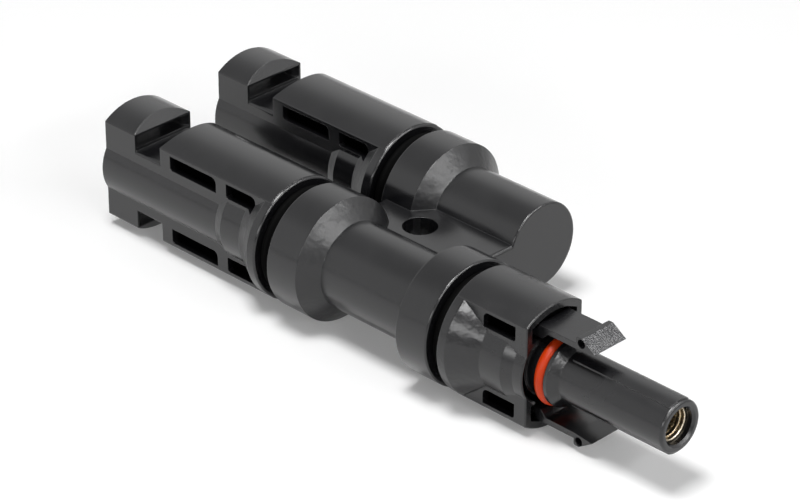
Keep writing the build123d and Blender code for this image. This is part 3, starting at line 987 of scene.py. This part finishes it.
@dataclass
class Studio:
    """Pale floor, pale room, soft lamps and the camera of the photograph's view.

    The room's spans are ranges of X, Y or Z of a direction that is 1 long.
    """

    lens_mm: float = 162.94
    sensor_mm: float = 36.0
    clip_mm: Span = (10.0, 10000.0)
    camera_at: tuple[float, float, float] = (316.896, -322.907, 254.758)
    camera_back: tuple[float, float, float] = (0.61325218, -0.61697025, 0.49322356)
    floor_size_mm: float = 3000.0
    floor_colour: str = "#F4F4F4"
    floor_glow: float = 0.12
    room_colour: str = "#FFFFFF"
    room_level: float = 1.0
    ceiling_level: float = 0.55
    ceiling_z: Span = (0.60, 0.77)
    back_level: float = 0.6
    back_z: Span = (0.0, 0.45)
    back_y: Span = (0.1, 0.4)
    side_level: float = 0.4
    side_x: Span = (-0.5, -0.38)
    side_y: Span = (-0.6, -0.4)
    unseen_share: float = 0.16
    # Each lamp has its azimuth, elevation, width and height in degrees, and then its level
    softboxes: tuple[Softbox, ...] = (
        Softbox("overhead_softbox", -105.0, 80.0, 18.0, 18.0, 23.0),
        Softbox("overhead_strip", 0.0, 65.0, 80.0, 7.0, 18.0, mirrored_only=True),
        Softbox("front_softbox", 5.0, 32.5, 54.0, 5.5, 11.5),
        Softbox("front_veil", 15.0, 26.0, 80.0, 26.0, 0.5),
        Softbox("side_softbox", -75.0, 20.0, 42.0, 10.0, 6.0),
    )

    def camera(self) -> None:
        """Sets the camera from its place and the direction behind it, with level horizon."""
        back = Vector(self.camera_back).normalized()
        right = Vector((0, 0, 1)).cross(back).normalized()
        up = back.cross(right)
        turn = Matrix((right, up, back)).transposed().to_4x4()
        lens = bpy.data.cameras.new("photo_view")
        lens.lens = self.lens_mm
        lens.sensor_width = self.sensor_mm
        lens.clip_start, lens.clip_end = (limit * MM for limit in self.clip_mm)
        view = bpy.data.objects.new("photo_view", lens)
        view.matrix_world = Matrix.Translation(Vector(self.camera_at) * MM) @ turn
        bpy.context.scene.collection.objects.link(view)
        bpy.context.scene.camera = view

    def floor(self) -> None:
        """Lays matt white paper under the connector's lowest point.

        It glows faintly where it is seen, so that it looks white without more light on the part.
        """
        half, height = self.floor_size_mm / 2 * MM, CAD_BOUNDS[0].z
        corners = [(-half, -half, height), (half, -half, height), (half, half, height),
                   (-half, half, height)]
        mesh = bpy.data.meshes.new("floor")
        mesh.from_pydata(corners, [], [(0, 1, 2, 3)])
        plane = bpy.data.objects.new("floor", mesh)
        bpy.context.scene.collection.objects.link(plane)
        paper = bpy.data.materials.new("matt_white_paper")
        paper.use_nodes = True
        tree = paper.node_tree
        tree.nodes.clear()
        matt = add_node(tree, "ShaderNodeBsdfDiffuse", {"Color": to_linear(self.floor_colour)})
        strength = add_node(tree, "ShaderNodeMath", {
            0: seen(tree), 1: self.floor_glow}, operation="MULTIPLY")
        glow = add_node(tree, "ShaderNodeEmission", {
            "Color": to_linear(self.room_colour), "Strength": strength})
        both = add_node(tree, "ShaderNodeAddShader", {0: matt, 1: glow})
        add_node(tree, "ShaderNodeOutputMaterial", {"Surface": both})
        mesh.materials.append(paper)

    def room(self) -> None:
        """Makes a room that is plain white as a background, and darker in places when mirrored.

        In gloss the walls are white, the ceiling is darker, the back wall (+Y) darkens towards
        the floor, and so does the wall beside the plug (-Y) behind its softbox. What only lights
        the connector is less again, so that with the lamps a colour renders as it is written.
        """
        world = bpy.data.worlds.new("pale_room")
        world.use_nodes = True
        tree = world.node_tree
        tree.nodes.clear()
        way = add_node(tree, "ShaderNodeTexCoord")
        x, y, z = add_node(tree, "ShaderNodeSeparateXYZ", {0: way.outputs["Generated"]}).outputs
        level = add_node(tree, "ShaderNodeMapRange",
                         ranged(z, (self.room_level, self.ceiling_level), self.ceiling_z))
        back_wall = ranged(z, (1 - self.back_level, 0.0), self.back_z), ranged(y, (0.0, 1.0), self.back_y)
        side_wall = ranged(x, (0.0, 1 - self.side_level), self.side_x), ranged(y, (1.0, 0.0), self.side_y)
        for loss, reach in (back_wall, side_wall):
            dark = add_node(tree, "ShaderNodeMath", {
                0: add_node(tree, "ShaderNodeMapRange", loss),
                1: add_node(tree, "ShaderNodeMapRange", reach)}, operation="MULTIPLY")
            left = add_node(tree, "ShaderNodeMath", {0: 1.0, 1: dark}, operation="SUBTRACT")
            level = add_node(tree, "ShaderNodeMath", {0: level, 1: left}, operation="MULTIPLY")
        lit = add_node(tree, "ShaderNodeMapRange", ranged(seen(tree), (self.unseen_share, 1.0), (0.0, 1.0)))
        level = add_node(tree, "ShaderNodeMath", {0: level, 1: lit}, operation="MULTIPLY")
        camera_ray = add_node(tree, "ShaderNodeLightPath").outputs["Is Camera Ray"]
        strength = add_node(tree, "ShaderNodeMix", {
            MIX_FACTOR: camera_ray, MIX_FIRST_VALUE: level, MIX_SECOND_VALUE: 1.0})
        sky = add_node(tree, "ShaderNodeBackground", {
            "Color": to_linear(self.room_colour), "Strength": strength})
        add_node(tree, "ShaderNodeOutputWorld", {"Surface": sky})
        bpy.context.scene.world = world

    def build(self) -> None:
        """Sets up the whole studio."""
        self.camera()
        self.floor()
        self.room()
        for softbox in self.softboxes:
            softbox.place()
        bpy.context.scene.view_settings.view_transform = "Standard"


def sub_assemblies() -> list[SubAssembly]:
    """Lists every sub-assembly in the order they are built.

    Returns:
        One sub-assembly for each piece.
    """
    parts = [DressedSolid("branch_body", BODY_POLYMER),
             DressedSolid("plug_housing", PLUG_POLYMER),
             WindowShadePlates("plug_housing", PLUG_RIM_X, 1, PLUG_WINDOWS)]
    for branch in Branch:
        parts += [DressedSolid(f"{branch.value}_socket_housing", SOCKET_POLYMER),
                  WindowShadePlates(f"{branch.value}_socket_housing", SOCKET_RIM_X, -1, SOCKET_WINDOWS),
                  PinContact(f"{branch.value}_pin_contact"),
                  NeckSeal(f"{branch.value}_neck_seal"),
                  DressedSolid(f"{branch.value}_contact_clip", STAINLESS)]
    parts += [NeckSeal("plug_neck_seal", beads=1), ORing(), SocketContact(), LouvreBand(),
              DressedSolid("plug_contact_clip", STAINLESS), DressedSolid("bus_bar", COPPER)]
    return parts


def main() -> None:
    """Builds every piece and the studio."""
    for part in sub_assemblies():
        piece = part.build()
        log.info("%s: %d faces", piece.name, len(piece.data.polygons))
    Studio().build()


if __name__ == "__main__":
    logging.basicConfig(level=logging.INFO, format="%(name)s %(message)s")
    main()
